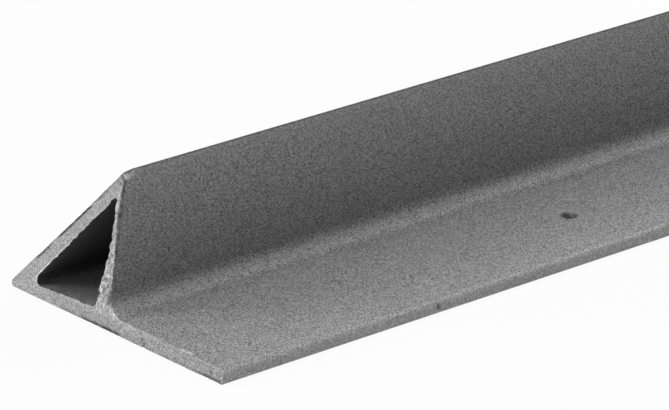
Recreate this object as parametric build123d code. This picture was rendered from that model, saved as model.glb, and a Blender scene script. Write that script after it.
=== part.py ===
from build123d import *
import math
import os

# Hollow 45 degree corner moulding with a nailing flange, extruded in one piece.
# Millimetres: X runs across the strip, Y along it and Z up from the flat base.

# Stock length, and the 45 degree corner that the moulding forms
length = 1219.2
leg = 19.05
tip_radius = 0.5
ridge_radius = 0.04

# Walls around the hollow: sloping face at its foot and peak, base at both ends, upright
slope_root = 2.1
slope_wall = 1.62
base_wall = 1.35
base_root = 2.02
upright_wall = 1.13
upright_root = 2.7
knee_height = 10.1
knee_radius = 8.0
acute_fillet = 0.7
peak_fillet = 0.18
heel_fillet = 0.35

# Nailing flange, which runs on from the base beyond the upright wall
flange_reach = 20.95
flange_root = 1.95
flange_edge = 1.65
cove_radius = 2.4
edge_radius = 0.6
underside_radius = 0.2

# Nail holes through the flange, counted from the near end
hole_diameter = 2.0
hole_edge_distance = 9.6
first_hole = 62.4
hole_pitch = 304.8
last_hole_margin = 25.0

# Near end, sawn a little off square, with its ridge chipped
saw_lean = 9.5
chip_drop = 1.0
chip_back = 1.0

# The rounded tip ends short of the sharp one, and the strip is centred on what is left
tip_setback = tip_radius * math.sqrt(2)
width = leg + flange_reach - tip_setback
flange_x = width / 2
upright_x = flange_x - flange_reach
sharp_tip_x = upright_x - leg
hole_x = flange_x - hole_edge_distance
near_end = -length / 2


def corner(sketch, x, z):
    """The corner of a section that lies nearest to a point."""
    return sketch.vertices().sort_by_distance((x, z))[0]


def outer_section():
    """Outline of the triangle, the cove and the flange, standing on its base."""
    tip = (sharp_tip_x, 0)
    ridge = (upright_x, leg)
    root = (upright_x, flange_root)
    edge = (flange_x, flange_edge)
    underside = (flange_x, 0)
    section = make_face(Polyline(tip, ridge, root, edge, underside, close=True))
    rounds = (
        (tip, tip_radius),
        (ridge, ridge_radius),
        (root, cove_radius),
        (edge, edge_radius),
        (underside, underside_radius),
    )
    for point, radius in rounds:
        section = fillet(corner(section, *point), radius)
    return section


def hollow_section():
    """Outline of the hollow, whose walls all thicken, the upright one below the knee."""
    inner_x = upright_x - upright_wall
    acute = (sharp_tip_x + base_wall + slope_root * math.sqrt(2), base_wall)
    heel = (upright_x - upright_root, base_root)
    knee = (inner_x, knee_height)
    peak = (inner_x, leg - upright_wall - slope_wall * math.sqrt(2))
    section = make_face(Polyline(acute, heel, knee, peak, close=True))
    rounds = (
        (acute, acute_fillet),
        (heel, heel_fillet),
        (knee, knee_radius),
        (peak, peak_fillet),
    )
    for point, radius in rounds:
        section = fillet(corner(section, *point), radius)
    return section


def saw_plane():
    """Plane of the near end: its foot is at the near end and its top leans back."""
    lean = math.radians(saw_lean)
    return Plane(origin=(0, near_end, 0), x_dir=(1, 0, 0), z_dir=(0, math.cos(lean), -math.sin(lean)))


def chip_plane():
    """Plane that takes the corner off the ridge at the near end."""
    lean = math.tan(math.radians(saw_lean))
    drop_height = leg - chip_drop
    on_slope = Vector(upright_x - chip_drop, near_end + drop_height * lean, drop_height)
    on_wall = Vector(upright_x, near_end + drop_height * lean, drop_height)
    on_ridge = Vector(upright_x, near_end + leg * lean + chip_back, leg)
    into_strip = (on_wall - on_slope).cross(on_ridge - on_slope)
    if into_strip.Y < 0:
        into_strip = into_strip * -1
    return Plane(origin=on_wall, z_dir=into_strip)


def nail_holes():
    """Drills for the row of nail holes along the flange."""
    row = length - first_hole - last_hole_margin
    count = int(row // hole_pitch) + 1
    depth = max(flange_root, flange_edge)
    places = [
        Location((hole_x, near_end + first_hole + hole_pitch * number, depth / 2))
        for number in range(count)
    ]
    drill = Cylinder(radius=hole_diameter / 2, height=2 * depth)
    return [place * drill for place in places]


def corner_moulding():
    """The whole strip: extruded, sawn, chipped and drilled."""
    section = outer_section() - hollow_section()
    strip = extrude(Plane.XZ.offset(length / 2) * section, amount=-length)
    strip = split(strip, bisect_by=saw_plane(), keep=Keep.TOP)
    strip = split(strip, bisect_by=chip_plane(), keep=Keep.TOP)
    return strip - nail_holes()


os.makedirs("parts", exist_ok=True)
part = corner_moulding().solid()
part.label = "corner_moulding"
export_step(part, "parts/corner_moulding.step")
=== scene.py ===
import math

import bpy
import numpy as np
from mathutils import Matrix, Vector, geometry, noise


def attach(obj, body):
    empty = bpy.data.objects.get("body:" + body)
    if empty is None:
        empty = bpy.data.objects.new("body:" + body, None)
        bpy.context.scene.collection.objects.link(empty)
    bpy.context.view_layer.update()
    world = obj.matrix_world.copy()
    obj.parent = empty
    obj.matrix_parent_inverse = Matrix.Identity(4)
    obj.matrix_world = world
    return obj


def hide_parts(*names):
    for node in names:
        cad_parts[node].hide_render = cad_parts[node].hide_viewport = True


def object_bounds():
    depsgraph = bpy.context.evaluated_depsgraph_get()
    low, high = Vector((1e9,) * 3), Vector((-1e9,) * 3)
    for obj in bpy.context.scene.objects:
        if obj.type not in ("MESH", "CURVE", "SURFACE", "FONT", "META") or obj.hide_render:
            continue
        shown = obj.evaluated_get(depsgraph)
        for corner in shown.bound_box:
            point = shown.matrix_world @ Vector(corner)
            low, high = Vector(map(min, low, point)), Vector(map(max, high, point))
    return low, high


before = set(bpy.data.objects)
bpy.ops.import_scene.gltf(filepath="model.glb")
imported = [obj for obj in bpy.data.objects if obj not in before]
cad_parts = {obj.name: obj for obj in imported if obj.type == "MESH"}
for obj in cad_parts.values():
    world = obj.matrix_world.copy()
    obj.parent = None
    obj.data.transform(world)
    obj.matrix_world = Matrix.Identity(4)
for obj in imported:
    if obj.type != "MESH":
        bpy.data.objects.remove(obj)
cad_low, cad_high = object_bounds()

MM = 0.001

# The photograph's frame and the camera found from the strip's straight edges
IMAGE_WIDTH = 669
SENSOR_WIDTH = 36.0
FOCAL_PIXELS = 4788
CAMERA_AZIMUTH = math.radians(49.393)
CAMERA_ELEVATION = math.radians(21.171)
TIP_RIGHT = -38.65 * MM
TIP_UP = -9.297 * MM
TIP_DEPTH = 565.968 * MM

# Ends and flange edge of the CAD strip, in millimetres as all sizes of the strip below
FLANGE_X = cad_high.x / MM
NEAR_END = cad_low.y / MM
FAR_END = cad_high.y / MM

# Section sizes of the CAD strip that the scene repeats
LEG = 19.05
TIP_RADIUS = 0.5
RIDGE_RADIUS = 0.04
SLOPE_ROOT = 2.1
SLOPE_WALL = 1.62
BASE_WALL = 1.35
BASE_ROOT = 2.02
UPRIGHT_WALL = 1.13
UPRIGHT_ROOT = 2.7
KNEE_HEIGHT = 10.1
KNEE_RADIUS = 8.0
ACUTE_FILLET = 0.7
PEAK_FILLET = 0.18
HEEL_FILLET = 0.35
FLANGE_REACH = 20.95
FLANGE_ROOT = 1.95
FLANGE_EDGE = 1.65
COVE_RADIUS = 2.4
EDGE_RADIUS = 0.6
UNDERSIDE_RADIUS = 0.2
UPRIGHT_X = FLANGE_X - FLANGE_REACH
SHARP_TIP_X = UPRIGHT_X - LEG

# Nail holes, and the square patch of flange that is meshed finely around each
HOLE_RADIUS = 1.0
HOLE_X = FLANGE_X - 9.6
FIRST_HOLE = 62.4
HOLE_PITCH = 304.8
HOLE_COUNT = 4
PATCH_HALF = 2.0
HOLE_SIDES = 56
RING_SHARES = (1.0, 1.04, 1.1, 1.18, 1.3, 1.5, 1.75)
BORE_SHARES = (0.25, 0.5, 0.75)
BORE_UNEVENNESS = 0.02
BORE_BUMPS_PER_MM = 3
BORE_SEED_STEP = 9

# Lip pushed up round each nail hole, by shares of its radius: height, side, paleness and rounding
LIP_HEIGHT = 0.07
LIP_BIAS = 0.5
LIP_DIRECTION = 2.4
LIP_SHARES = (0.98, 1.1, 1.12, 1.6)
LIP_PALENESS = 0.3
LIP_PALE_SHARES = (1.0, 1.1, 1.2, 1.5)
TOP_ROUNDING = 0.12
BOTTOM_ROUNDING = 0.06
ROUNDED_SHARES = (0.98, 1.09)

# A small nick in the flange's edge: place from the near end, heights, length, depth and painted
# shade
NICK_PLACE = 32.55
NICK_HEIGHTS = (0.4, 0.6, 1.05, 1.3)
NICK_LENGTH = 0.2
NICK_DEPTH = 0.12
NICK_PAINTED_SHADE = 1.0

# Near end: lean of the saw cut and the chip out of the ridge, with its first step and slant
SAW_SLOPE = math.tan(math.radians(9.5))
CHIP_ON_SLOPE = 0.65
CHIP_ON_WALL = 1.3
CHIP_BACK = 1.2
CHIP_STEP = 0.15
CHIP_SLANT = 0.9
CHIP_CURVE = 3
# The chip is paler fresh plastic and also carries painted light, as a facet turned up to the lamps
CHIP_PALE_AND_LIT = 1.85
CHIP_RIM_PALENESS = 0.35
CHIP_RIM = (0.04, 0.2)

# Groove beside the chip: its sides from the wall's face, drop, width, depth and painted shade
CREASE_SIDES = (-0.95, -0.75, 0.0, 0.1)
CREASE_DROP = 0.17
CREASE_WIDTH = 0.13
CREASE_DEPTH = 0.25
CREASE_PAINTED_SHADE = 0.75

# Nicks and crumbs of the near sawn face: place across, height, radius, depth and paleness
MARKS = (
    (18.27, 17.2, 0.2, 0.2, 0.3),
    (18.0, 16.5, 0.17, 0.12, 0.6),
    (17.95, 15.9, 0.17, 0.12, 0.55),
    (18.38, 5.63, 0.28, 0.2, 0.42),
    (18.4, 7.06, 0.3, 0.1, 0.75),
    (17.84, 4.51, 0.28, 0.12, 0.6),
    (17.96, 3.83, 0.3, 0.1, 0.68),
    (25.4, 0.82, 0.2, 0.2, 0.55),
    (25.72, 0.5, 0.2, 0.25, 0.5),
    (25.68, 0.14, 0.2, 0.25, 0.42),
    (27.7, 0.95, 0.15, 0.1, 0.75),
    (28.3, 0.8, 0.17, 0.12, 0.72),
    (23.3, 1.7, 0.6, 0.0, 1.12),
    (36.5, 0.8, 0.14, 0.08, 0.75),
    (37.9, 0.8, 0.2, 0.12, 0.62),
    (38.0, 0.45, 0.22, 0.0, 1.22),
    (39.1, 1.0, 0.15, 0.08, 0.75),
    (39.7, 0.8, 0.16, 0.0, 1.2),
    (32.9, 1.45, 0.3, 0.1, 0.8),
    (33.6, 1.42, 0.25, 0.1, 0.8),
    (19.61, 2.5, 0.24, 0.0, 1.35),
    (20.5, 2.05, 0.22, 0.0, 1.35),
    (21.3, 1.8, 0.2, 0.0, 1.2),
)

# How far the sawn edge of the wall is torn back, and how dark the torn part is, by height
TORN_HEIGHTS = (2.4, 2.8, 3.1, 4.1, 4.7, 7.2, 8.7, 10.2, 12.5, 14.0, 15.0, 16.2, 16.8, 17.4)
TORN_REACHES = (0.08, 0.4, 0.85, 0.75, 0.2, 0.16, 0.33, 0.5, 0.52, 0.66, 0.55, 0.5, 0.3, 0.3)
DARK_HEIGHTS = (2.5, 2.8, 3.2, 4.2, 4.8, 7.0, 9.0, 15.8, 16.6, 17.6, 17.9)
DARK_SHARES = (0.0, 0.25, 0.4, 0.5, 0.8, 0.85, 0.85, 0.8, 0.85, 0.85, 0.0)
CHIPPED_HEIGHTS = (17.7, 17.9)

# Torn band on the sawn edge of the upright: where it narrows, its side, its heights and crumbs
BAND_NARROWING = (1.0, KNEE_HEIGHT + 2)
BAND_SIDE = (-0.4, 0.2)
BAND_HEIGHTS = (1.6, 2.8, 15.6, 17.2)
BAND_PALENESS = 0.26
BAND_PALE_HEIGHTS = (6.5, 9.5)
BAND_DULLNESS = 0.02
CRUMB_HEIGHT = 0.06
CRUMB_START = (1.0, 2.0)
CRUMB_FADING = 0.55
CRUMB_FADING_HEIGHTS = (7.5, 10.5)

# Depth of the sawn faces, and paleness of the near one: falling from the tip across
NEAR_DEPTH = 0.02
FAR_DEPTH = 0.03
TIP_PALENESS = 1.12
PALENESS_FALL = 0.0055
TIP_GAIN = 0.07
TIP_REACH = (2.0, 4.5)

# Painted highlight along the lip of the sloping wall at the hollow, on the sawn face and on the rim
SLOPE_LIP_REACH = (0.1, 0.3)
SLOPE_LIP_HEIGHTS = (1.2, 2.2, 6.5, 9.0)
SLOPE_LIP_HIGHLIGHT = 0.35
RIM_LIP_HIGHLIGHT = 0.6
RIM_LIP_FADING = 0.6
RIM_LIP_FADING_HEIGHTS = (4.0, 7.0)
FLOOR_LIP_HIGHLIGHT = 0.1

# Darkening in the sawn edges: a dark line along the slope, and painted shade where the base's edge
# turns under; share of darkness and the four bounds of each patch
LEAST_SLOPE_DARK = 0.15
SLOPE_DARK_PATCHES = (
    (0.8, 0.21, 0.26, 0.33, 0.38),
    (1.1, 0.4, 0.45, 0.67, 0.73),
    (0.55, 0.7, 0.75, 0.82, 0.88),
)
RIDGE_DARK = ((0.2, 0.8, 0.9), (0.4, 0.962, 0.97))
SLOPE_DARK_REACH = (0.3, 0.48)
SLOPE_DARKNESS = 0.95
LEAST_BASE_SHADE = 0.1
BASE_SHADE_PATCHES = (
    (0.3, 9.0, 10.5, 13.0, 15.0),
    (1.0, 13.0, 15.0, 20.5, 22.0),
    (0.2, 28.0, 30.0, 35.0, 36.5),
    (0.8, 35.0, 36.5, 39.4, 40.0),
)
BASE_SHADE_REACH = (0.28, 0.48)
BASE_PAINTED_SHADE = 0.92
BASE_EDGE_PAINTED_SHADE = 0.9
EDGE_DARK_EVENNESS = 0.9

# Wear of the sawn edges: radius at a nil share of the edge's mask, and what a full share adds to it
LEAST_WEAR = 0.02
RIDGE_SHARPNESS = 0.15
RIDGE_WEAR_GAIN = 0.3
BASE_WEAR = (0.02, 0.18)
SLOPE_WEAR = (0.04, 0.28)
FLANGE_WEAR = 0.07
RIM_WEAR = (0.07, 0.06)
FAR_WEAR = 0.06

# Where looks begin and end: by facing, by turn round the sawn edge and by setback behind it
WALL_FACING = (0.0, 0.3)
WALL_FOOT = (FLANGE_EDGE, FLANGE_ROOT + 0.4)
WALL_LEAST_FACING = 0.05
TORN_EVENNESS = 0.75
TORN_MOST = 1.6
DARK_FACING = (0.0, 0.4)
DARK_EVENNESS = 0.95
DARK_TURNS = (-0.15, 0.2, 0.65, 1.0)
PLAIN_TURN = 0.4
PLAIN_TURN_ON_CHIP = 0.6
CHIP_EDGE_PALE_AND_LIT = 0.9
CHIP_EDGE_SETBACKS = (0.1, 0.7)
EDGE_DARK_TURNS = (0.0, 0.35)
EDGE_DARK_SETBACKS = (0.05, 0.45)
BURR_SETBACKS = (0.1, 0.5)
RIM_UPRIGHT_FACING = (0.7, 0.95)
RIM_SLOPE_FACING = (0.3, 0.6)
RIM_FLOOR_FACING = (0.7, 0.9)
RIM_CRUMB_SETBACKS = (0.8, 2.0)
RIM_TURNS = (0.3, 1.0)
HOLLOW_FLOOR_FACING = (0.6, 0.95)
SIDE_MARGIN = 1.0

# Burrs that the saw raised on the flange's top edge, by share and four bounds across
BURRS = ((1.0, 32.1, 32.3, 32.7, 32.95), (0.9, 33.1, 33.3, 34.0, 34.3))
BURR_HEIGHT = 0.13
BURR_PALENESS = 1.2

# Small sideways waves of the sloping wall's sawn edge and a crumb on the hollow's rim
SLOPE_WAVE = 0.05
SLOPE_WAVE_IN = (4.0, 7.0, 14.0, 16.0)
SLOPE_WAVE_OUT = (17.9, 18.3, 18.5, 18.7)
RIM_CRUMB_PLACE = 9.9
RIM_CRUMB_SIZE = 0.4
RIM_CRUMB_REACH = 0.2

# Noises of the worn places: strength, size of the bumps and seed
NEAR_RELIEF = ((0.013, 2.2, 1.3), (0.01, 0.45, 5.1), (0.008, 0.2, 8.2))
BAND_RELIEF = ((0.1, 0.6, 2.4), (0.08, 0.3, 3.7))
FAR_RELIEF = ((0.018, 2.0, 21.3), (0.012, 0.4, 25.1))
NEAR_CLOUDS = ((0.03, 1.6, 61.3),)
BAND_CLOUDS = ((0.3, 0.5, 63.1), (0.3, 0.26, 65.4))
SLOPE_HIGHLIGHT_CLOUDS = ((0.3, 0.5, 67.3),)
FAR_CLOUDS = ((0.05, 1.8, 71.3),)
SLOPE_DARK_CLOUDS = ((0.25, 0.8, 81.3),)
BASE_SHADE_CLOUDS = ((0.25, 0.8, 83.3),)
DARK_LINE_CLOUDS = ((0.25, 0.7, 85.3),)
RIM_HIGHLIGHT_CLOUDS = ((0.4, 0.5, 91.3),)
RIM_CRUMBS = ((0.5, 0.6, 93.3),)
EDGE_UNEVENNESS = ((0.35, 1.1, 11.5), (0.3, 0.4, 13.5))
RIM_UNEVENNESS = ((0.4, 0.7, 31.5), (0.3, 0.3, 33.5))
FAR_UNEVENNESS = ((0.03, 1.0, 41.5),)
RIM_RAGS = ((0.09, 0.9, 51.5), (0.05, 0.35, 53.5))

# Mesh steps along the outlines, over the sawn faces and along the strip
FINE_STEP = 0.12
THIN_EVERY = 24
ARC_STEPS = 6
LONG_STEP = 40.0
EDGE_TURNS = 6
WEAR_BACK = 0.5
FADE_BACK = 1.1
SETBACKS = (0.12, 0.3, 0.6, FADE_BACK, 2.0)
FINE_END = 9.0
NICK_STEP = 1.2
NICK_STEPS = (-2, -1, 0, 1, 2)
RIDGE_LINE_DROPS = (0.8, 0.5, 0.34, 0.16)
BORDER_CLEARANCE = 0.6
SMALLEST_FACE = 1e-6
SAME_PLACE = 0.01
CLOSEST = 1e-7
NARROWEST = 0.001
SMOOTH_ANGLE = math.radians(40)

# Numbers of the outer outline's corners at which the holes' windows begin
WINDOWS = (("bottom", 1), ("top", 7))

# Slant from which a piece of the outline counts as facing up or down
FACING = 0.6

# Materials by slot: name, paleness, speckle, roughness, gloss and height of the pebbles
BODY, SAWN, INSIDE = range(3)
PLASTICS = (
    ("grey_plastic", 0.295, 0.85, 0.5, 0.6, 0.02),
    ("sawn_plastic", 0.33, 0.55, 0.75, 0.5, 0.03),
    # The inner plastic is the grey plastic darkened as painted shade for the hollow
    ("shaded_inner_plastic", 0.17, 0.6, 0.5, 0.5, 0.02),
)
CLOUDINESS = 0.02

# Noise in the plastic: size in millimetres, detail and sharpness, and the specks' own size
PEBBLES = (0.14, 1.0, 0.7)
CLOUDS = (6.0, 2.0, 0.5)
CLOUD_RANGE = (0.3, 0.7)
SPECK_SIZE = 0.09
SPECK_RANGE = (0.2, 0.8)

# Painted light and shade on the wall by height (painted shade low down, a painted highlight in the
# cove, lighter near the top), paleness of the line under the ridge, painted light on the free edge
# and painted shade in the hollow
WALL_LIGHT_HEIGHTS = (2.5, 2.95, 3.3, 3.7, 4.5, 8.5, 11.0, 13.0, 15.0, 17.5)
WALL_PAINTED_LIGHT_AND_SHADE = (1.0, 1.28, 1.04, 0.88, 0.86, 0.89, 0.93, 1.02, 1.03, 1.14)
RIDGE_LINE_DARKNESS = 0.6
RIDGE_LINE = (0.15, 0.33)
BELOW_LINE_PALENESS = 0.22
BELOW_LINE = (0.28, 0.36, 0.55, 1.0)
# Painted light on the flange's free edge and its rounding
EDGE_PAINTED_LIGHT = 0.7
LIT_EDGE_TURN = (0.4, 0.95)
# Painted shade in the hollow, less of it on the floor
HOLLOW_PAINTED_SHADE = 0.48
HOLLOW_FLOOR_LIGHT = 0.55

# Floor, the white that the camera sees of it, and the air
FLOOR_HALF = 30.0
FLOOR_GAP = 0.0001
FLOOR_LEVEL = 0.85
FLOOR_WHITE = 0.94
WORLD_STRENGTH = 0.0

# Lamps: direction as seen from above (0 is the sawn end, 90 the flange), height and strength
LAMP_ANGLE = 30
LAMPS = (
    (180, 40, 0.44),
    (315, 15, 0.38),
    (0, 15, 0.29),
    (315, 40, 0.2),
    (0, 90, 0.17),
    (225, 40, 0.07),
)


def direction(azimuth, elevation):
    """Direction from the strip: azimuth 0 is out of its sawn end, 90 degrees over its flange."""
    level = math.cos(elevation)
    return Vector((math.sin(azimuth) * level, -math.cos(azimuth) * level, math.sin(elevation)))


def make_camera():
    """Camera of the photograph, placed from the strip's sharp near tip."""
    back = direction(CAMERA_AZIMUTH, CAMERA_ELEVATION)
    right = Vector((math.cos(CAMERA_AZIMUTH), math.sin(CAMERA_AZIMUTH), 0))
    up = back.cross(right)
    data = bpy.data.cameras.new("photo_camera")
    data.sensor_width = SENSOR_WIDTH
    data.lens = FOCAL_PIXELS * SENSOR_WIDTH / IMAGE_WIDTH
    camera = bpy.data.objects.new("photo_camera", data)
    bpy.context.scene.collection.objects.link(camera)
    camera.matrix_world = Matrix(
        (
            (right.x, up.x, back.x, 0),
            (right.y, up.y, back.y, 0),
            (right.z, up.z, back.z, 0),
            (0, 0, 0, 1),
        )
    )
    sharp_tip = Vector((SHARP_TIP_X, NEAR_END, 0)) * MM
    camera.location = sharp_tip - right * TIP_RIGHT - up * TIP_UP + back * TIP_DEPTH
    bpy.context.scene.camera = camera


def smooth(value, low, high):
    """0 below low, 1 above high and a smooth step between."""
    share = min(1, max(0, (value - low) / (high - low)))
    return share * share * (3 - 2 * share)


def window(value, opens, full, closes, shut):
    """0 below opens and above shut, 1 from full to closes, with smooth sides."""
    return smooth(value, opens, full) * (1 - smooth(value, closes, shut))


def rough(x, z, size, seed):
    """Smooth noise between -1 and 1 with bumps of about one size."""
    return max(-1, min(1, 2 * noise.noise(Vector((x / size, z / size, seed)))))


def layered(x, z, layers):
    """Sum of noises, each given by its strength, the size of its bumps and its seed."""
    return sum(strength * rough(x, z, size, seed) for strength, size, seed in layers)


def strongest(value, patches, least):
    """Largest share of the patches at a place, each given by its share and four bounds."""
    return max([least] + [share * window(value, *bounds) for share, *bounds in patches])


def across(x):
    """Place across the section, from the triangle's sharp tip."""
    return x - SHARP_TIP_X


class Outline:
    """A closed line round the section, anticlockwise, with rounded corners.

    points are its places, out their directions away from the material, and kept the
    few points that are enough for the long plain part of the strip.
    """

    def __init__(self, corners, hole_side):
        self.points = []
        self.kept = []
        self.breaks = []
        count = len(corners)
        rounds = [self.rounded(corners, number) for number in range(count)]
        for number, arc in enumerate(rounds):
            self.breaks.append(len(self.points))
            for place in arc:
                self.kept.append(len(self.points))
                self.points.append(place)
            self.straight(arc[-1], rounds[(number + 1) % count][0])
        tangents = np.roll(self.points, -1, axis=0) - np.roll(self.points, 1, axis=0)
        tangents /= np.linalg.norm(tangents, axis=1)[:, None]
        side = -1 if hole_side else 1
        self.out = np.column_stack((tangents[:, 1], -tangents[:, 0])) * side
        self.points = np.array(self.points)

    @staticmethod
    def rounded(corners, number):
        """Points of one corner's arc, or the corner itself where it has no radius."""
        x, z, radius = corners[number]
        corner = Vector((x, z))
        if not radius:
            return [(x, z)]
        before = Vector(corners[number - 1][:2]) - corner
        after = Vector(corners[(number + 1) % len(corners)][:2]) - corner
        half = before.angle(after) / 2
        setback = radius / math.tan(half)
        middle = (before.normalized() + after.normalized()).normalized()
        centre = corner + middle * radius / math.sin(half)
        start = corner + before.normalized() * setback - centre
        end = corner + after.normalized() * setback - centre
        turn = start.angle_signed(end)
        steps = max(ARC_STEPS, math.ceil(radius * abs(turn) / FINE_STEP))
        arc = []
        for step in range(steps + 1):
            arm = start.copy()
            arm.rotate(Matrix.Rotation(-turn * step / steps, 2))
            arc.append(tuple(centre + arm))
        return arc

    def straight(self, start, end):
        """Evenly spaced points between two corners, of which every few are kept."""
        length = math.dist(start, end)
        steps = max(1, round(length / FINE_STEP))
        plain = abs(length - 2 * PATCH_HALF) < SAME_PLACE
        for step in range(1, steps):
            share = step / steps
            if step % THIN_EVERY == 0 and steps - step > THIN_EVERY // 2 and not plain:
                self.kept.append(len(self.points))
            aside, up = (end[0] - start[0]) * share, (end[1] - start[1]) * share
            self.points.append((start[0] + aside, start[1] + up))


def flange_top(x):
    """Height of the flange's gently sloping top."""
    return FLANGE_EDGE + (FLANGE_ROOT - FLANGE_EDGE) * (FLANGE_X - x) / FLANGE_REACH


def outer_outline():
    """Outline of the triangle, the cove and the flange, with the holes' patches as stations."""
    low, high = HOLE_X - PATCH_HALF, HOLE_X + PATCH_HALF
    return Outline(
        [
            (SHARP_TIP_X, 0, TIP_RADIUS),
            (low, 0, 0),
            (high, 0, 0),
            (FLANGE_X, 0, UNDERSIDE_RADIUS),
            (FLANGE_X, NICK_HEIGHTS[0], 0),
            (FLANGE_X, NICK_HEIGHTS[1], 0),
            (FLANGE_X, FLANGE_EDGE, EDGE_RADIUS),
            (high, flange_top(high), 0),
            (low, flange_top(low), 0),
            (UPRIGHT_X, FLANGE_ROOT, COVE_RADIUS),
            *((UPRIGHT_X, LEG - drop, 0) for drop in RIDGE_LINE_DROPS),
            (UPRIGHT_X, LEG, RIDGE_RADIUS),
        ],
        False,
    )


def hollow_outline():
    """Outline of the hollow, whose walls all thicken, the upright one below the knee."""
    inner_x = UPRIGHT_X - UPRIGHT_WALL
    return Outline(
        [
            (SHARP_TIP_X + BASE_WALL + SLOPE_ROOT * math.sqrt(2), BASE_WALL, ACUTE_FILLET),
            (UPRIGHT_X - UPRIGHT_ROOT, BASE_ROOT, HEEL_FILLET),
            (inner_x, KNEE_HEIGHT, KNEE_RADIUS),
            (inner_x, LEG - UPRIGHT_WALL - SLOPE_WALL * math.sqrt(2), PEAK_FILLET),
        ],
        True,
    )


def chip_setback(x, z):
    """How far the chip goes behind the saw cut: little on the sloping side, more on the wall."""
    rise = z - LEG + CHIP_ON_WALL
    if rise <= 0:
        return 0
    on_wall = min(CHIP_BACK, CHIP_STEP + CHIP_SLANT * rise)
    above = max(0, z - LEG + CHIP_ON_SLOPE) / CHIP_ON_SLOPE
    on_slope = CHIP_BACK * min(1, above) ** CHIP_CURVE
    start = rise if rise < CHIP_ON_WALL - CHIP_ON_SLOPE else LEG - z
    share = min(1, max(0, 1 - (UPRIGHT_X - x) / max(start, NARROWEST)))
    return on_slope + (on_wall - on_slope) * share


def chip_height(x, z):
    """Distance above the line where the chip begins in the saw cut."""
    steep = CHIP_ON_WALL / CHIP_ON_SLOPE - 1
    return (z - LEG + CHIP_ON_WALL - abs(UPRIGHT_X - x) * steep) / math.hypot(1, steep)


def chip_crease(x, z):
    """1 along the groove beside the chip."""
    away = (chip_height(x, z) + CREASE_DROP) / CREASE_WIDTH
    return window(x - UPRIGHT_X, *CREASE_SIDES) * math.exp(-(away**2))


def upright_band(x, z):
    """1 on the sawn edge of the upright wall, which tore as it was cut, fading below and beside."""
    swelling = (UPRIGHT_ROOT - UPRIGHT_WALL) * (1 - smooth(z, *BAND_NARROWING))
    side = UPRIGHT_X - UPRIGHT_WALL - swelling
    return smooth(x - side, *BAND_SIDE) * window(z, *BAND_HEIGHTS)


def marks(x, z):
    """Depth and paleness of the nicks and crumbs of the near face at a place."""
    depth, tone = 0, 1
    for place, height, radius, deep, pale in MARKS:
        near = math.exp(-((across(x) - place) ** 2 + (z - height) ** 2) / radius**2)
        depth += deep * near
        tone *= 1 + (pale - 1) * near
    return depth, tone


def near_cut_depth(x, z):
    """Relief of the near sawn face; the crumbs of the upright's edge stand out a little."""
    crumbs = upright_band(x, z) * (1 - CRUMB_FADING * smooth(z, *CRUMB_FADING_HEIGHTS))
    depth = NEAR_DEPTH + layered(x, z, NEAR_RELIEF)
    depth += crumbs * (NEAR_DEPTH + layered(x, z, BAND_RELIEF))
    depth += CREASE_DEPTH * chip_crease(x, z) + marks(x, z)[0]
    return max(-CRUMB_HEIGHT * smooth(z, *CRUMB_START), depth)


def slope_lip_highlight(x, z):
    """Painted highlight that the lip of the sloping wall adds to the sawn face beside the hollow."""
    wall = SLOPE_ROOT - (SLOPE_ROOT - SLOPE_WALL) * z / LEG
    inside = wall - (across(x) - z) / math.sqrt(2)
    lip = (1 - smooth(inside, *SLOPE_LIP_REACH)) * window(z, *SLOPE_LIP_HEIGHTS)
    return lip * (SLOPE_LIP_HIGHLIGHT + layered(x, z, SLOPE_HIGHLIGHT_CLOUDS))


def near_cut_tone(x, z):
    """Paleness of the near sawn face: palest at the tip, on the torn upright and on the chip, where
    painted light adds to the fresh plastic's paleness.
    """
    place = across(x)
    tone = TIP_PALENESS - PALENESS_FALL * place + TIP_GAIN * (1 - smooth(place, *TIP_REACH))
    tone += layered(x, z, NEAR_CLOUDS)
    torn = BAND_PALENESS * smooth(z, *BAND_PALE_HEIGHTS) - BAND_DULLNESS
    tone *= 1 + upright_band(x, z) * (torn + layered(x, z, BAND_CLOUDS))
    # painted highlight along the slope's edge at the hollow
    tone *= 1 + slope_lip_highlight(x, z)
    up_chip = chip_height(x, z)
    if up_chip > 0:
        # paler fresh plastic on the chip, with painted light added
        tone *= CHIP_PALE_AND_LIT + CHIP_RIM_PALENESS * (1 - smooth(up_chip, *CHIP_RIM))
    # painted shade in the groove beside the chip
    tone *= 1 - CREASE_PAINTED_SHADE * chip_crease(x, z)
    at_slope = 1 - smooth((place - z) / math.sqrt(2), *SLOPE_DARK_REACH)
    at_base = 1 - smooth(z, *BASE_SHADE_REACH)
    tone *= 1 - SLOPE_DARKNESS * slope_dark_line(x, z) * at_slope
    # painted shade where the base's edge turns under toward the floor
    tone *= 1 - BASE_PAINTED_SHADE * base_shade_and_wear(x, z) * at_base
    return tone * marks(x, z)[1]


def far_cut_depth(x, z):
    """Relief of the far sawn face, inward only and even all over."""
    return max(0, FAR_DEPTH + layered(x, z, FAR_RELIEF))


def far_cut_tone(x, z):
    """Paleness of the far sawn face, which is nearly even."""
    return 1 + layered(x, z, FAR_CLOUDS)


def slope_dark_line(x, z):
    """How dark the line is along the sloping face's sawn edge."""
    share = z / LEG
    at_ridge = sum(dark * smooth(share, *bounds) for dark, *bounds in RIDGE_DARK)
    edge_darkness = max(at_ridge, strongest(share, SLOPE_DARK_PATCHES, LEAST_SLOPE_DARK))
    return min(1, edge_darkness * (EDGE_DARK_EVENNESS + layered(x, z, SLOPE_DARK_CLOUDS)))


def base_shade_and_wear(x, z):
    """How dark the painted shade is where the base's sawn edge turns under, patchy along it; the
    same share rounds that edge.
    """
    edge_darkness = strongest(across(x), BASE_SHADE_PATCHES, LEAST_BASE_SHADE)
    return edge_darkness * (EDGE_DARK_EVENNESS + layered(x, z, BASE_SHADE_CLOUDS))


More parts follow.
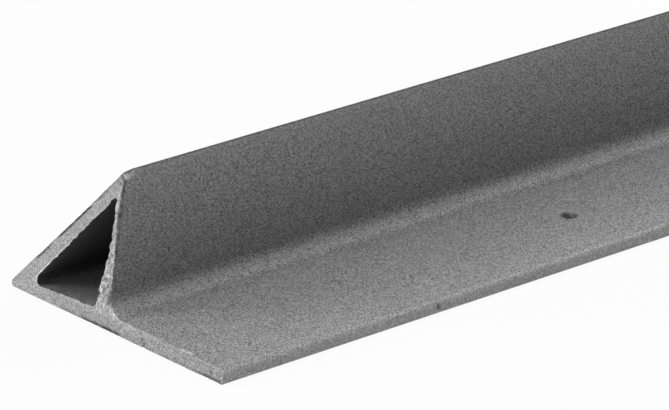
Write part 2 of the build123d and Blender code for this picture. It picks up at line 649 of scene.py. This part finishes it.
def flange_burr(x):
    """1 along the two short burrs that the saw raised on the flange's top edge."""
    return strongest(across(x), BURRS, 0)


def faces_down(out):
    """Whether a piece of the outline belongs to the base or the underside."""
    return out[1] < -FACING


def on_slope(x, z, out):
    """Whether a piece of the outline belongs to the sloping face."""
    return x < UPRIGHT_X - SAME_PLACE or out[1] > FACING and z > FLANGE_ROOT + COVE_RADIUS


def on_wall(x, z, out):
    """Whether a piece of the outline belongs to the upright wall or to the cove below it."""
    between = UPRIGHT_X - SIDE_MARGIN < x < FLANGE_X - SIDE_MARGIN
    return between and z > FLANGE_ROOT and out[0] > WALL_LEAST_FACING and not faces_down(out)


def sharp_ridge(z):
    """Most that the edge may be worn near the ridge, whose corner is sharp."""
    return LEAST_WEAR + RIDGE_WEAR_GAIN * max(0, LEG - RIDGE_SHARPNESS - z)


def masked_wear(wear, rounding_share, noisy):
    """Wear of an edge that is rounder where the given share is high."""
    clean, full_share = wear
    return (clean + full_share * rounding_share) * noisy


def near_edge_wear(x, z, out):
    """Radius to which the near sawn edge is worn round, small at the sharp ridge."""
    noisy = 1 + layered(x, z, EDGE_UNEVENNESS)
    if faces_down(out):
        return max(LEAST_WEAR, masked_wear(BASE_WEAR, base_shade_and_wear(x, z), noisy))
    if on_slope(x, z, out):
        wear = masked_wear(SLOPE_WEAR, slope_dark_line(x, z), noisy)
    else:
        wall = smooth(out[0], *WALL_FACING) * smooth(z, *WALL_FOOT)
        torn = float(np.interp(z, TORN_HEIGHTS, TORN_REACHES))
        torn *= TORN_EVENNESS + (1 - TORN_EVENNESS) * min(noisy, TORN_MOST)
        wear = FLANGE_WEAR * (1 - wall) * noisy + torn * wall
    return min(sharp_ridge(z), max(LEAST_WEAR, wear))


def wall_edge_tone(x, z, out, turn, setback):
    """Paleness of the wall's sawn edge: a dark line within it, pale again on the chip, where fresh
    plastic and painted light stand for a lit facet.
    """
    dark = float(np.interp(z, DARK_HEIGHTS, DARK_SHARES)) * smooth(out[0], *DARK_FACING)
    dark *= DARK_EVENNESS + layered(x, z, DARK_LINE_CLOUDS)
    on_chip = smooth(z, *CHIPPED_HEIGHTS)
    # painted light of the chip's facet, laid on the wall's rows beside it
    plain = 1 + CHIP_EDGE_PALE_AND_LIT * on_chip * (1 - smooth(setback, *CHIP_EDGE_SETBACKS))
    later = PLAIN_TURN_ON_CHIP * on_chip
    tone = near_cut_tone(x, z)
    tone += (plain - tone) * smooth(turn, later, PLAIN_TURN + later)
    return tone * (1 - dark * window(turn, *DARK_TURNS))


def near_edge_tone(x, z, out, turn, setback):
    """Paleness of the near sawn edge: a dark line on the wall, painted shade along the base, a dark
    line along the slope, a burr on the flange.
    """
    if on_wall(x, z, out):
        return wall_edge_tone(x, z, out, turn, setback)
    if faces_down(out):
        # painted shade along the base's edge, which turns under toward the floor
        dark = BASE_EDGE_PAINTED_SHADE * base_shade_and_wear(x, z)
    elif on_slope(x, z, out):
        dark = SLOPE_DARKNESS * slope_dark_line(x, z)
    else:
        dark = -BURR_PALENESS * flange_burr(x)
    tone = near_cut_tone(x, z)
    tone += (1 - dark - tone) * smooth(turn, *EDGE_DARK_TURNS)
    return tone + (1 - tone) * smooth(setback, *EDGE_DARK_SETBACKS)


def near_burr(x, z, setback):
    """Sideways shift of the near outer edge: waves along the slope, out at the flange's burrs."""
    if x < UPRIGHT_X - SAME_PLACE and z > FLANGE_EDGE:
        wave = SLOPE_WAVE * (window(z, *SLOPE_WAVE_IN) - window(z, *SLOPE_WAVE_OUT))
        return wave * (1 - smooth(setback, 0, FADE_BACK))
    if z < FLANGE_EDGE / 2 or x < UPRIGHT_X + COVE_RADIUS:
        return 0.0
    return -BURR_HEIGHT * flange_burr(x) * (1 - smooth(setback, *BURR_SETBACKS))


def near_rim_wear(x, z, out):
    """Radius of the near rim of the hollow, rounder along the upright wall."""
    upright = smooth(-out[0], *RIM_UPRIGHT_FACING)
    return max(LEAST_WEAR, masked_wear(RIM_WEAR, upright, 1 + layered(x, z, RIM_UNEVENNESS)))


def near_rim_tone(x, z, out, turn, setback):
    """Paleness of the near rim of the hollow, which has a painted highlight along its sloping side.
    """
    tone = near_cut_tone(x, z)
    # painted highlight along the rim of the hollow
    lip = smooth(out[0], *RIM_SLOPE_FACING)
    lip *= 1 - RIM_LIP_FADING * smooth(z, *RIM_LIP_FADING_HEIGHTS)
    lip += FLOOR_LIP_HIGHLIGHT * smooth(out[1], *RIM_FLOOR_FACING)
    tone *= 1 + lip * (RIM_LIP_HIGHLIGHT + layered(x, z, RIM_HIGHLIGHT_CLOUDS)) * (1 - turn)
    crumbs = max(0, layered(x + setback, z, RIM_CRUMBS))
    beside = 1 + crumbs * (1 - smooth(setback, *RIM_CRUMB_SETBACKS))
    return tone + (beside - tone) * smooth(turn, *RIM_TURNS)


def near_rag(x, z, setback):
    """Sideways raggedness of the near rim of the hollow, with one crumb on its upright side."""
    ragged = layered(x, z, RIM_RAGS)
    if x > UPRIGHT_X - UPRIGHT_ROOT:
        away = (z - RIM_CRUMB_PLACE) / RIM_CRUMB_SIZE
        ragged -= RIM_CRUMB_REACH * math.exp(-(away**2))
    return ragged * (1 - smooth(setback, 0, FADE_BACK))


def far_wear(x, z, out):
    """Radius of the far end's edges, which show only light handling."""
    return min(sharp_ridge(z), max(LEAST_WEAR, FAR_WEAR + layered(x, z, FAR_UNEVENNESS)))


def far_tone(x, z, out, turn, setback):
    """Paleness of the far end's edges, from the sawn face's to the strip's."""
    return 1 + (far_cut_tone(x, z) - 1) * (1 - turn)


def no_rag(x, z, setback):
    """The far end's edges run straight."""
    return 0.0


def body_painted_light_and_tone(x, z, out):
    """Paleness round the section: painted shade low on the wall, a painted highlight in the cove, a
    line under the ridge, painted light on the free edge.
    """
    tone = 1.0
    if UPRIGHT_X - SAME_PLACE < x < UPRIGHT_X + COVE_RADIUS and z > FLANGE_ROOT:
        drop = LEG - z
        # painted shade low on the wall, a painted highlight in the cove and lighter near the top
        tone = float(np.interp(z, WALL_LIGHT_HEIGHTS, WALL_PAINTED_LIGHT_AND_SHADE))
        tone -= RIDGE_LINE_DARKNESS * (1 - smooth(drop, *RIDGE_LINE))
        tone += BELOW_LINE_PALENESS * window(drop, *BELOW_LINE)
    if x > FLANGE_X - SIDE_MARGIN:
        # painted light on the flange's free edge face and its rounded top corner
        tone += EDGE_PAINTED_LIGHT * smooth(out[0], *LIT_EDGE_TURN)
    return tone


def hollow_painted_shade(x, z, out):
    """Painted shade round the hollow, least on its floor, which faces up to the light that enters.
    """
    return HOLLOW_PAINTED_SHADE + HOLLOW_FLOOR_LIGHT * smooth(out[1], *HOLLOW_FLOOR_FACING)


class End:
    """One end of the strip: where its face lies, how it is worn and how pale it is."""

    def __init__(self, y, along, slope, chip, face, edge, rim):
        self.y = y
        self.along = along
        self.slope = slope
        self.chip = chip
        self.depth, self.tone = face
        self.edge = edge
        self.rim = rim

    def face(self, x, z, relief=1.0):
        """Lengthwise place of the cut face above a point of the section."""
        setback = self.slope * z + self.depth(x, z) * relief
        if self.chip:
            setback += chip_setback(x, z)
        return self.y + self.along * setback


class StripMesh:
    """Points and faces of the strip, gathered before they become one mesh."""

    def __init__(self):
        self.points = []
        self.tones = []
        self.faces = []
        self.kinds = []

    def add(self, places, tones=None):
        """Takes in places and their paleness, plain where none is given; returns their numbers."""
        first = len(self.points)
        self.points.extend(tuple(place) for place in places)
        self.tones.extend(tones or [1.0] * (len(self.points) - first))
        return list(range(first, len(self.points)))

    def face(self, corners, kind, flip=False):
        """Takes in a face of one material, turned over where its corners run the other way."""
        self.faces.append(tuple(reversed(corners)) if flip else tuple(corners))
        self.kinds.append(kind)

    def bands(self, rows, kind, flip, skip=()):
        """Quads between closed rows of equally many points."""
        for low, high in zip(rows, rows[1:]):
            for here in range(len(low)):
                after = (here + 1) % len(low)
                if (low[here], low[after]) not in skip:
                    self.face((low[here], low[after], high[after], high[here]), kind, flip)

    def thinning(self, fine, coarse, kept, kind, flip):
        """Faces from a row of many points to the row of those that are kept."""
        for number, start in enumerate(kept):
            after = (number + 1) % len(kept)
            end = kept[after] if after else len(fine)
            run = [fine[step % len(fine)] for step in range(start, end + 1)]
            self.face(run + [coarse[after], coarse[number]], kind, flip)


def end_rows(mesh, outline, end, looks, side_light_and_tone, kind, flip):
    """Fine rows from the cut face back along the strip; returns the first and last row."""
    wear, edge_tone, rag = looks
    sides = list(zip(outline.points, outline.out))
    worn = [wear(x, z, out) for (x, z), out in sides]
    turns = [number / (EDGE_TURNS - 1) for number in range(EDGE_TURNS)]
    steps = [(turn, 0.0) for turn in turns] + [(1.0, setback) for setback in SETBACKS]
    rows = []
    for turn, setback in steps:
        inward = 1 - math.sin(turn * math.pi / 2)
        back = WEAR_BACK * (1 - math.cos(turn * math.pi / 2))
        fade = 1 - smooth(setback, 0, FADE_BACK)
        row, tones = [], []
        for ((x, z), out), radius in zip(sides, worn):
            moved = inward * radius + rag(x, z, setback)
            new_x, new_z = x - out[0] * moved, z - out[1] * moved
            y = end.face(new_x, new_z, fade) + end.along * (back * radius + setback)
            row.append((new_x, y, new_z))
            beside = 1 + (side_light_and_tone(x, z, out) - 1) * turn
            tones.append(edge_tone(new_x, new_z, out, turn, setback) * beside)
        rows.append(mesh.add(row, tones))
    mesh.bands(rows[:EDGE_TURNS], SAWN, flip)
    mesh.bands(rows[EDGE_TURNS - 1 :], kind, flip)
    return rows[0], rows[-1]


def inside_section(places, loops):
    """Which places lie in the material between the outer line and the hollow."""
    inside = np.zeros(len(places), bool)
    for loop in loops:
        following = np.roll(loop, -1, axis=0)
        for (x0, z0), (x1, z1) in zip(loop, following):
            crosses = (z0 > places[:, 1]) != (z1 > places[:, 1])
            if z0 != z1:
                reach = (x1 - x0) * (places[:, 1] - z0) / (z1 - z0) + x0
                inside ^= crosses & (places[:, 0] < reach)
    return inside


def triangles(places, edges):
    """Triangles over flat places, which keep the given edges."""
    made = geometry.delaunay_2d_cdt([Vector(place) for place in places], edges, [], 0, CLOSEST)
    if len(made[0]) != len(places):
        raise ValueError("the face's outline crosses itself")
    return [tuple(made[3][corner][0] for corner in face) for face in made[2]]


def cut_face(mesh, end, rows, flip):
    """The sawn face: a fine net of triangles between the outer row and the hollow's row."""
    loops = [np.array([(mesh.points[i][0], mesh.points[i][2]) for i in row]) for row in rows]
    rise = FINE_STEP * math.sqrt(3) / 2
    spots = []
    for level in range(int(LEG / rise)):
        offset = FINE_STEP / 2 * (level % 2)
        for step in range(int((FLANGE_X - SHARP_TIP_X) / FINE_STEP)):
            spots.append((SHARP_TIP_X + offset + step * FINE_STEP, (level + 0.5) * rise))
    spots = np.array(spots)
    spots = spots[inside_section(spots, loops)]
    border = np.concatenate(loops)
    clear = np.array([np.min(np.sum((border - spot) ** 2, axis=1)) for spot in spots])
    spots = spots[clear > (BORDER_CLEARANCE * FINE_STEP) ** 2]
    inner = mesh.add([(x, end.face(x, z), z) for x, z in spots], [end.tone(x, z) for x, z in spots])
    ids = [i for row in rows for i in row] + inner
    places = np.concatenate([border, spots])
    edges = []
    first = 0
    for row in rows:
        edges += [(first + i, first + (i + 1) % len(row)) for i in range(len(row))]
        first += len(row)
    faces = triangles(places, edges)
    corners = np.array([places[list(face)] for face in faces])
    sides = corners[:, 1:] - corners[:, :1]
    areas = np.abs(sides[:, 0, 0] * sides[:, 1, 1] - sides[:, 0, 1] * sides[:, 1, 0]) / 2
    real = inside_section(corners.mean(axis=1), loops) & (areas > SMALLEST_FACE)
    for face, kept in zip(faces, real):
        if kept:
            mesh.face([ids[corner] for corner in face], SAWN, flip)


def hole_patch(mesh, corners, hole_y, height, lip, flip):
    """Square of flange round a nail hole; returns the hole's own row of points."""
    places = [mesh.points[corner][:2] for corner in corners]
    points, tones = [], []
    for number, share in enumerate(RING_SHARES):
        radius = HOLE_RADIUS * share
        for side in range(HOLE_SIDES):
            angle = 2 * math.pi * (side + 0.5 * (number % 2)) / HOLE_SIDES
            x, y = HOLE_X + radius * math.cos(angle), hole_y + radius * math.sin(angle)
            places.append((x, y))
            points.append((x, y, height(x) + lip(share, angle)))
            pale = max(0, math.cos(angle - LIP_DIRECTION)) * window(share, *LIP_PALE_SHARES)
            tones.append(1 + LIP_PALENESS * pale)
    ids = list(corners) + mesh.add(points, tones)
    rim = range(len(corners), len(corners) + HOLE_SIDES)
    edges = [(number, (number + 1) % len(corners)) for number in range(len(corners))]
    edges += [(place, rim[(number + 1) % HOLE_SIDES]) for number, place in enumerate(rim)]
    for face in triangles(places, edges):
        if not all(corner in rim for corner in face):
            mesh.face([ids[corner] for corner in face], BODY, flip)
    return [ids[corner] for corner in rim]


def top_lip(share, angle):
    """Plastic pushed up round the hole and rounded over into it, highest towards the ridge."""
    rise = LIP_HEIGHT * (1 + LIP_BIAS * math.cos(angle - LIP_DIRECTION))
    drop = TOP_ROUNDING * (1 - smooth(share, *ROUNDED_SHARES))
    return rise * window(share, *LIP_SHARES) - drop


def bottom_lip(share, angle):
    """The hole's lower edge, only eased so that the base stays flat."""
    return BOTTOM_ROUNDING * (1 - smooth(share, *ROUNDED_SHARES))


def nail_hole(mesh, found, hole_y):
    """A nail hole between the flange's top and underside windows."""
    top = hole_patch(mesh, found["top"], hole_y, flange_top, top_lip, False)
    bottom = hole_patch(mesh, found["bottom"], hole_y, lambda x: 0.0, bottom_lip, True)
    rows = [top]
    for share in BORE_SHARES:
        row = []
        for upper, lower in zip(top, bottom):
            (x, y, z), low = mesh.points[upper], mesh.points[lower][2]
            bumps = (x * BORE_BUMPS_PER_MM, y * BORE_BUMPS_PER_MM, 1.0, share * BORE_SEED_STEP)
            tight = 1 + BORE_UNEVENNESS * rough(*bumps)
            x, y = HOLE_X + (x - HOLE_X) * tight, hole_y + (y - hole_y) * tight
            row.append((x, y, z + (low - z) * share))
        rows.append(mesh.add(row))
    rows.append(bottom)
    mesh.bands(rows, BODY, False)


def long_stations(hole_places):
    """Places of the plain rows along the strip, closer at the nail holes and the nick."""
    fixed = [NEAR_END + FINE_END, FAR_END - FINE_END]
    fixed += [y + side * PATCH_HALF for y in hole_places for side in (-1, 1)]
    fixed += [NEAR_END + NICK_PLACE + NICK_STEP * NICK_LENGTH * step for step in NICK_STEPS]
    fixed.sort()
    stations = [fixed[0]]
    for low, high in zip(fixed, fixed[1:]):
        steps = max(1, round((high - low) / LONG_STEP))
        stations += [low + (high - low) * (step + 1) / steps for step in range(steps)]
    return stations


def edge_nick(x, y, z):
    """1 in the middle of the nick in the flange's edge, 0 away from it."""
    if x < FLANGE_X - EDGE_RADIUS:
        return 0.0
    away = (y - NEAR_END - NICK_PLACE) / NICK_LENGTH
    return window(z, *NICK_HEIGHTS) * math.exp(-(away**2))


def long_row(mesh, outline, side_light_and_tone, y):
    """One plain row round the strip."""
    places, tones = [], []
    for i in outline.kept:
        x, z = outline.points[i]
        dent = edge_nick(x, y, z)
        places.append((x - NICK_DEPTH * dent, y, z))
        # painted shade in the nick
        tones.append(side_light_and_tone(x, z, outline.out[i]) * (1 - NICK_PAINTED_SHADE * dent))
    return mesh.add(places, tones)


def window_corners(outline, rows, stations, y):
    """Corner points of the windows in the flange's top and underside for a hole."""
    near = min(range(len(stations)), key=lambda n: abs(stations[n] - (y - PATCH_HALF)))
    low, high = rows[near], rows[near + 1]
    found = {}
    for name, first in WINDOWS:
        here = outline.kept.index(outline.breaks[first])
        found[name] = [low[here], low[here + 1], high[here + 1], high[here]]
    return found


def build_strip():
    """The whole strip as one closed mesh."""
    mesh = StripMesh()
    near_edge = (near_edge_wear, near_edge_tone, near_burr)
    near_rim = (near_rim_wear, near_rim_tone, near_rag)
    far_edge = (far_wear, far_tone, no_rag)
    near = End(NEAR_END, 1, SAW_SLOPE, True, (near_cut_depth, near_cut_tone), near_edge, near_rim)
    far = End(FAR_END, -1, 0.0, False, (far_cut_depth, far_cut_tone), far_edge, far_edge)
    holes = [NEAR_END + FIRST_HOLE + HOLE_PITCH * number for number in range(HOLE_COUNT)]
    stations = long_stations(holes)
    near_rows, far_rows = [], []
    for outline, kind in ((outer_outline(), BODY), (hollow_outline(), INSIDE)):
        flip = kind == BODY
        side_light_and_tone = body_painted_light_and_tone if kind == BODY else hollow_painted_shade
        sides = []
        for end, rows, turned in ((near, near_rows, flip), (far, far_rows, not flip)):
            looks = end.edge if kind == BODY else end.rim
            first, last = end_rows(mesh, outline, end, looks, side_light_and_tone, kind, turned)
            rows.append(first)
            sides.append(last)
        long_rows = [long_row(mesh, outline, side_light_and_tone, y) for y in stations]
        windows = []
        if kind == BODY:
            windows = [window_corners(outline, long_rows, stations, y) for y in holes]
        skip = {tuple(found[name][:2]) for found in windows for name in found}
        mesh.bands(long_rows, kind, flip, skip)
        mesh.thinning(sides[0], long_rows[0], outline.kept, kind, flip)
        mesh.thinning(sides[1], long_rows[-1], outline.kept, kind, not flip)
        for found, y in zip(windows, holes):
            nail_hole(mesh, found, y)
    cut_face(mesh, near, near_rows, False)
    cut_face(mesh, far, far_rows, True)
    return mesh


def strip_object(mesh):
    """The strip in metres, with its paleness as an attribute of its points."""
    points = [(x * MM, y * MM, min(z * MM, cad_high.z)) for x, y, z in mesh.points]
    data = bpy.data.meshes.new("corner_moulding_strip")
    data.from_pydata(points, [], mesh.faces)
    data.polygons.foreach_set("material_index", mesh.kinds)
    tone = data.attributes.new("tone", "FLOAT", "POINT")
    tone.data.foreach_set("value", mesh.tones)
    data.validate()
    data.shade_smooth()
    data.set_sharp_from_angle(angle=SMOOTH_ANGLE)
    data.update()
    strip = bpy.data.objects.new("corner_moulding_strip", data)
    bpy.context.scene.collection.objects.link(strip)
    return strip


def mapped(nodes, links, source, low, high, to_low, to_high):
    """A value moved from one range to another."""
    remap = nodes.new("ShaderNodeMapRange")
    ends = {"From Min": low, "From Max": high, "To Min": to_low, "To Max": to_high}
    for socket, number in ends.items():
        remap.inputs[socket].default_value = number
    links.new(source, remap.inputs["Value"])
    return remap.outputs["Result"]


def noise_texture(nodes, links, size, detail, sharpness):
    """Noise with specks of one size in millimetres, fixed to the strip."""
    place = nodes.new("ShaderNodeTexCoord")
    texture = nodes.new("ShaderNodeTexNoise")
    texture.inputs["Scale"].default_value = 1 / (size * MM)
    texture.inputs["Detail"].default_value = detail
    texture.inputs["Roughness"].default_value = sharpness
    links.new(place.outputs["Object"], texture.inputs["Vector"])
    return texture.outputs["Fac"]


def random_cells(nodes, links, size):
    """A random value in each of many small cells, fixed to the strip."""
    place = nodes.new("ShaderNodeTexCoord")
    cells = nodes.new("ShaderNodeTexVoronoi")
    cells.inputs["Scale"].default_value = 1 / (size * MM)
    links.new(place.outputs["Object"], cells.inputs["Vector"])
    split = nodes.new("ShaderNodeSeparateColor")
    links.new(cells.outputs["Color"], split.inputs["Color"])
    return split.outputs["Red"]


def combined(nodes, links, operation, first, second):
    """Two values put together by a sum, a product or the like."""
    node = nodes.new("ShaderNodeMath")
    node.operation = operation
    for socket, value in zip(node.inputs, (first, second)):
        if isinstance(value, float):
            socket.default_value = value
        else:
            links.new(value, socket)
    return node.outputs[0]


def plastic(name, level, speckle, roughness, specular, bump_height):
    """Matt grey plastic: fine specks in its colour, a fine pebbled surface and faint cloudiness."""
    material = bpy.data.materials.new(name)
    material.use_nodes = True
    nodes, links = material.node_tree.nodes, material.node_tree.links
    shader = nodes["Principled BSDF"]
    shader.inputs["Roughness"].default_value = roughness
    shader.inputs["Specular IOR Level"].default_value = specular
    grain = noise_texture(nodes, links, *PEBBLES)
    clouds = noise_texture(nodes, links, *CLOUDS)
    cells = random_cells(nodes, links, SPECK_SIZE)
    specks = mapped(nodes, links, cells, *SPECK_RANGE, -speckle, speckle)
    dull, pale = level * (1 - CLOUDINESS), level * (1 + CLOUDINESS)
    clouded = mapped(nodes, links, clouds, *CLOUD_RANGE, dull, pale)
    tone = nodes.new("ShaderNodeAttribute")
    tone.attribute_name = "tone"
    colour = nodes.new("ShaderNodeCombineColor")
    quiet = combined(nodes, links, "MINIMUM", tone.outputs["Fac"], 1.0)
    speckle_on_tone = combined(nodes, links, "MULTIPLY", specks, quiet)
    speckled = combined(nodes, links, "ADD", tone.outputs["Fac"], speckle_on_tone)
    shade = combined(nodes, links, "MULTIPLY", speckled, clouded)
    for channel in ("Red", "Green", "Blue"):
        links.new(shade, colour.inputs[channel])
    links.new(colour.outputs["Color"], shader.inputs["Base Color"])
    bump = nodes.new("ShaderNodeBump")
    bump.inputs["Strength"].default_value = 1.0
    bump.inputs["Distance"].default_value = bump_height * MM
    links.new(grain, bump.inputs["Height"])
    links.new(bump.outputs["Normal"], shader.inputs["Normal"])
    return material


def white_to_camera(nodes, links, shown, share):
    """Mixes white into what the camera, glossy and transmission rays see of a shader."""
    path = nodes.new("ShaderNodeLightPath")
    seen = path.outputs["Is Camera Ray"]
    for kind in ("Is Glossy Ray", "Is Transmission Ray"):
        seen = combined(nodes, links, "MAXIMUM", seen, path.outputs[kind])
    white = nodes.new("ShaderNodeEmission" if share < 1 else "ShaderNodeBackground")
    white.inputs["Color"].default_value = (1, 1, 1, 1)
    white.inputs["Strength"].default_value = 1.0
    mix = nodes.new("ShaderNodeMixShader")
    links.new(mapped(nodes, links, seen, 0, 1, 0, share), mix.inputs["Fac"])
    links.new(shown, mix.inputs[1])
    links.new(white.outputs[0], mix.inputs[2])
    return mix.outputs[0]


def make_floor():
    """Large pale floor, almost white to the camera, that keeps a faint shadow."""
    mesh = bpy.data.meshes.new("floor")
    corners = [(x * FLOOR_HALF, y * FLOOR_HALF, 0) for x, y in ((-1, -1), (1, -1), (1, 1), (-1, 1))]
    mesh.from_pydata(corners, [], [(0, 1, 2, 3)])
    floor = bpy.data.objects.new("floor", mesh)
    floor.location.z = -FLOOR_GAP
    bpy.context.scene.collection.objects.link(floor)
    material = bpy.data.materials.new("floor")
    material.use_nodes = True
    nodes, links = material.node_tree.nodes, material.node_tree.links
    shader = nodes["Principled BSDF"]
    shader.inputs["Base Color"].default_value = (FLOOR_LEVEL, FLOOR_LEVEL, FLOOR_LEVEL, 1)
    shader.inputs["Roughness"].default_value = 1.0
    shown = white_to_camera(nodes, links, shader.outputs["BSDF"], FLOOR_WHITE)
    links.new(shown, nodes["Material Output"].inputs["Surface"])
    mesh.materials.append(material)


def make_world():
    """Air that gives no light, white where the camera looks past the floor."""
    world = bpy.data.worlds.new("studio")
    bpy.context.scene.world = world
    world.use_nodes = True
    nodes, links = world.node_tree.nodes, world.node_tree.links
    air = nodes["Background"]
    air.inputs["Color"].default_value = (1, 1, 1, 1)
    air.inputs["Strength"].default_value = WORLD_STRENGTH
    shown = white_to_camera(nodes, links, air.outputs["Background"], 1.0)
    links.new(shown, nodes["World Output"].inputs["Surface"])


def make_lamps():
    """Soft studio lamps, far off, each by its direction, height and strength."""
    for number, (azimuth, elevation, strength) in enumerate(LAMPS):
        data = bpy.data.lights.new("lamp_%d" % number, "SUN")
        data.energy = math.pi * strength
        data.angle = math.radians(LAMP_ANGLE)
        lamp = bpy.data.objects.new("lamp_%d" % number, data)
        bpy.context.scene.collection.objects.link(lamp)
        towards = direction(math.radians(azimuth), math.radians(elevation))
        lamp.rotation_mode = "QUATERNION"
        lamp.rotation_quaternion = towards.to_track_quat("Z", "Y")


make_camera()
make_floor()
make_world()
make_lamps()
strip = strip_object(build_strip())
for look in PLASTICS:
    strip.data.materials.append(plastic(*look))
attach(strip, "root")
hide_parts("corner_moulding")
bpy.context.scene.view_settings.view_transform = "Standard"
